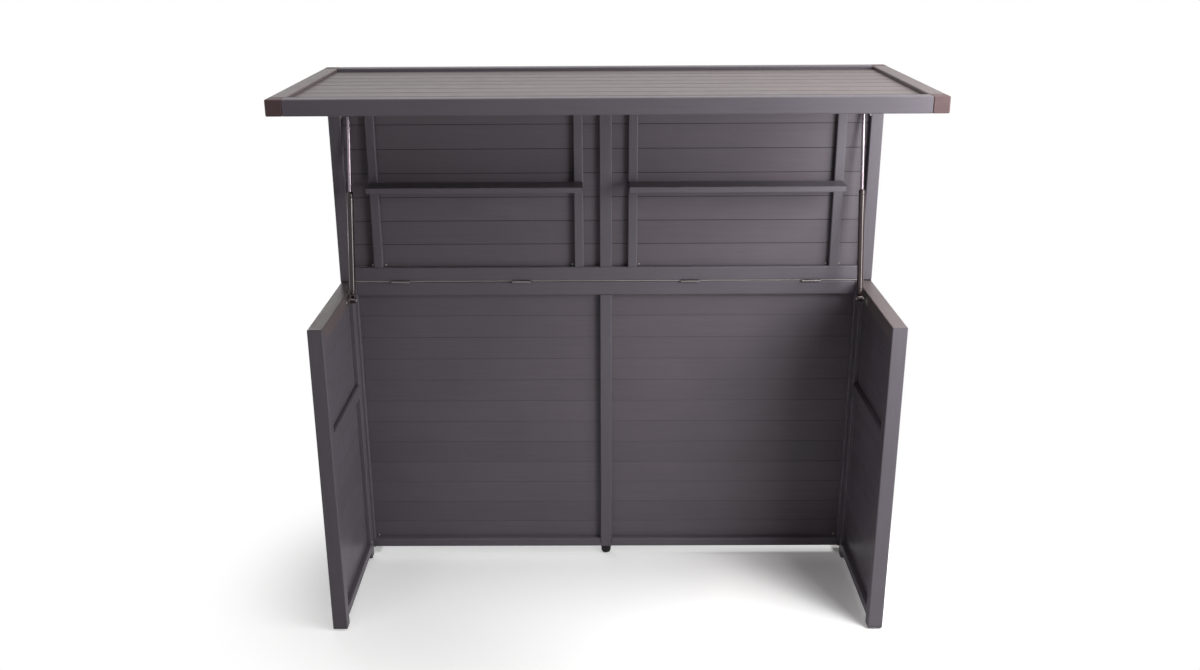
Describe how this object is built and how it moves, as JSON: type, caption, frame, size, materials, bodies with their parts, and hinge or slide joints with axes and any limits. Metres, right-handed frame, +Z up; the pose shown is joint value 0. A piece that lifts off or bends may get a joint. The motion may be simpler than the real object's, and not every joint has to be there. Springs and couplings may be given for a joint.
{
  "type": "outdoor bar unit",
  "caption": "Slatted outdoor bar: planked wall with side wings, and a folding flap on gas struts that carries shelves and an overhanging slatted counter.",
  "frame": {"origin": "on the floor, under the middle of the counter", "axes": "+X along the counter, to the right of someone who stands in front between the wings; +Y from the front to the back; +Z up"},
  "size_m": [1.2, 0.5, 1.1],
  "materials": {
    "frame_coat": "satin",
    "plank_coat": "satin",
    "slat_coat": "satin",
    "cap_plastic": "matte",
    "foot_plastic": "matte",
    "hinge_steel": "satin",
    "strut_enamel": "gloss",
    "strut_chrome": "polished"
  },
  "bodies": {
    "frame": {"wall_end_post_left": "frame_coat", "wall_end_post_right": "frame_coat", "wall_centre_post": "frame_coat", "wall_top_rail": "frame_coat", "wall_bottom_rail": "frame_coat", "wall_planks": "plank_coat", "wing_front_post_left": "frame_coat", "wing_back_post_left": "frame_coat", "wing_top_rail_left": "frame_coat", "wing_mid_rail_left": "frame_coat", "wing_bottom_rail_left": "frame_coat", "wing_planks_left": "plank_coat", "wing_front_post_right": "frame_coat", "wing_back_post_right": "frame_coat", "wing_top_rail_right": "frame_coat", "wing_mid_rail_right": "frame_coat", "wing_bottom_rail_right": "frame_coat", "wing_planks_right": "plank_coat", "foot_front_left": "foot_plastic", "foot_front_right": "foot_plastic", "foot_back_left": "foot_plastic", "foot_back_right": "foot_plastic", "foot_centre": "foot_plastic", "hinge_1_lower_leaf": "hinge_steel", "hinge_2_lower_leaf": "hinge_steel", "hinge_3_lower_leaf": "hinge_steel", "hinge_4_lower_leaf": "hinge_steel", "strut_bracket_left": "hinge_steel", "strut_bracket_right": "hinge_steel"},
    "flap": {"flap_end_post_left": "frame_coat", "flap_end_post_right": "frame_coat", "flap_centre_post": "frame_coat", "flap_top_rail": "frame_coat", "flap_bottom_rail": "frame_coat", "inner_upright_left": "frame_coat", "inner_upright_right": "frame_coat", "outer_upright_left": "frame_coat", "outer_upright_right": "frame_coat", "shelf_left": "frame_coat", "shelf_right": "frame_coat", "flap_planks": "plank_coat", "counter_front_rail": "frame_coat", "counter_back_rail": "frame_coat", "counter_side_rail_left": "frame_coat", "counter_side_rail_right": "frame_coat", "counter_slats": "slat_coat", "corner_cap_front_left": "cap_plastic", "corner_cap_front_right": "cap_plastic", "corner_cap_back_left": "cap_plastic", "corner_cap_back_right": "cap_plastic", "hinge_1_upper_leaf": "hinge_steel", "hinge_2_upper_leaf": "hinge_steel", "hinge_3_upper_leaf": "hinge_steel", "hinge_4_upper_leaf": "hinge_steel", "strut_head_plate_left": "hinge_steel", "strut_head_plate_right": "hinge_steel"},
    "cylinder_left": {"strut_cylinder_left": "strut_enamel"},
    "rod_left": {"strut_rod_left": "strut_chrome"},
    "cylinder_right": {"strut_cylinder_right": "strut_enamel"},
    "rod_right": {"strut_rod_right": "strut_chrome"}
  },
  "joints": [
    {"name": "flap_fold", "type": "hinge", "parent": "frame", "child": "flap", "pos_m": [0, 0.0909, 0.66335], "axis": [1, 0, 0], "range_deg": [0, 90]},
    {"name": "strut_turn_left", "type": "hinge", "parent": "frame", "child": "cylinder_left", "pos_m": [-0.5285, 0.014, 0.647], "axis": [1, 0, 0], "range_deg": [0, 98]},
    {"name": "strut_slide_left", "type": "slide", "parent": "cylinder_left", "child": "rod_left", "axis": [0, -0.2167, -0.9762], "range_m": [0, 0.102]},
    {"name": "strut_turn_right", "type": "hinge", "parent": "frame", "child": "cylinder_right", "pos_m": [0.5285, 0.014, 0.647], "axis": [1, 0, 0], "range_deg": [0, 98]},
    {"name": "strut_slide_right", "type": "slide", "parent": "cylinder_right", "child": "rod_right", "axis": [0, -0.2167, -0.9762], "range_m": [0, 0.102]}
  ],
  "couplings": [
    {"joint": "strut_turn_left", "follows": "flap_fold", "ratio": 1.0854},
    {"joint": "strut_slide_left", "follows": "flap_fold", "m_per_rad": 0.064642},
    {"joint": "strut_turn_right", "follows": "flap_fold", "ratio": 1.0854},
    {"joint": "strut_slide_right", "follows": "flap_fold", "m_per_rad": 0.064642}
  ]
}
